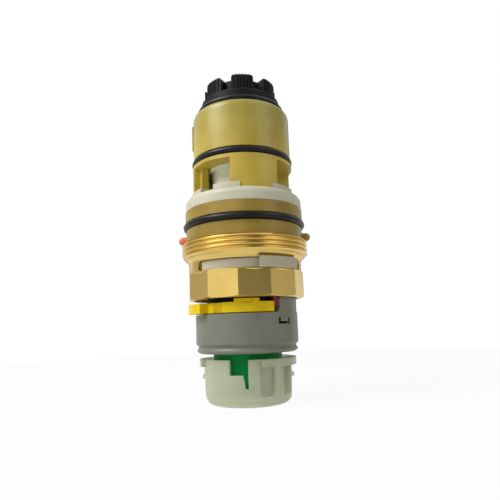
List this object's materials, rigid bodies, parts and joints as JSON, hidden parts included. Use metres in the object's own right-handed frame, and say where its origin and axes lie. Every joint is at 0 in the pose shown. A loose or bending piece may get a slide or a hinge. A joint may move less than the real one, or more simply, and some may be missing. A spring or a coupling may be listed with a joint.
{
  "type": "thermostatic cartridge",
  "caption": "Thermostatic shower-valve cartridge: sealed barrel with water windows, threaded union nut, turning flow hub and a temperature spindle with a translucent handle adapter.",
  "frame": {"origin": "centre of the closed outer end of the translucent handle adapter, on which the cartridge stands", "axes": "+Z along the cartridge towards its castellated inner end; +X towards the cold-side peg; -Y is the front, as in the picture"},
  "size_m": [0.0476, 0.0448, 0.1145],
  "materials": {
    "amber_plastic": "natural amber moulded polysulphone, slightly translucent",
    "dark_amber_plastic": "darker amber moulded polysulphone",
    "cream_plastic": "cream moulded acetal",
    "white_plastic": "off-white moulded acetal",
    "black_plastic": "black glass-filled moulded plastic",
    "black_rubber": "greased EPDM",
    "brass": "turned brass, as machined",
    "yellow_plastic": "yellow moulded acetal",
    "red_plastic": "dark red moulded acetal",
    "coral_plastic": "coral moulded acetal",
    "grey_plastic": "mid grey moulded acetal",
    "green_plastic": "green moulded acetal",
    "clear_plastic": "natural translucent polypropylene",
    "ceramic": "lapped alumina",
    "steel": "stainless spring steel",
    "copper": "copper bulb"
  },
  "bodies": {
    "body": {"upper_housing": "amber_plastic", "end_retainer": "black_plastic", "oring_top": "black_rubber", "oring_middle": "black_rubber", "oring_lower": "black_rubber", "port_ring": "cream_plastic", "lower_housing": "dark_amber_plastic", "hot_peg": "coral_plastic", "mixing_sleeve": "white_plastic", "seat_ring": "steel", "fixed_disc": "ceramic", "disc_seal": "black_rubber", "carrier": "black_plastic", "carrier_snap_ring": "steel", "yellow_stop_ring": "yellow_plastic", "red_stop_ring": "red_plastic", "return_spring": "steel"},
    "union_nut": {"brass_nut": "brass", "nut_clip": "white_plastic"},
    "flow_control": {"flow_hub": "grey_plastic", "flow_driver": "grey_plastic", "moving_disc": "ceramic", "driver_oring": "black_rubber", "slip_washer": "white_plastic"},
    "temperature_control": {"temperature_hub": "green_plastic", "temperature_spindle": "brass", "spindle_oring": "black_rubber", "spindle_clip": "steel", "handle_adapter": "clear_plastic"},
    "setting_nut": {"travelling_nut": "brass", "overload_spring": "steel", "cup_ring": "steel"},
    "thermostat_piston": {"overload_cup": "brass", "element_piston": "steel"},
    "thermostat_shuttle": {"shuttle": "white_plastic", "shuttle_oring": "black_rubber", "thermostat_element": "copper"}
  },
  "joints": [
    {"name": "nut_turn", "type": "hinge", "parent": "body", "child": "union_nut", "pos_m": [0, 0, 0.045], "axis": [0, 0, 1], "continuous": true},
    {"name": "flow_turn", "type": "hinge", "parent": "body", "child": "flow_control", "pos_m": [0, 0, 0.0235], "axis": [0, 0, 1], "range_deg": [0, 90]},
    {"name": "temperature_turn", "type": "hinge", "parent": "body", "child": "temperature_control", "pos_m": [0, 0, 0.0235], "axis": [0, 0, 1], "range_deg": [-150, 150]},
    {"name": "setting_slide", "type": "slide", "parent": "body", "child": "setting_nut", "axis": [0, 0, 1], "range_m": [-0.002, 0.002]},
    {"name": "overload_slide", "type": "slide", "parent": "setting_nut", "child": "thermostat_piston", "axis": [0, 0, 1], "range_m": [-0.0015, 0], "stiffness_N_per_m": 20000, "springref_m": 0.0005, "deforming": ["overload_spring"]},
    {"name": "shuttle_slide", "type": "slide", "parent": "body", "child": "thermostat_shuttle", "axis": [0, 0, 1], "range_m": [-0.00085, 0.00085], "stiffness_N_per_m": 3000, "deforming": ["return_spring"]}
  ],
  "couplings": [
    {"joint": "setting_slide", "follows": "temperature_turn", "m_per_rad": -0.00076}
  ]
}
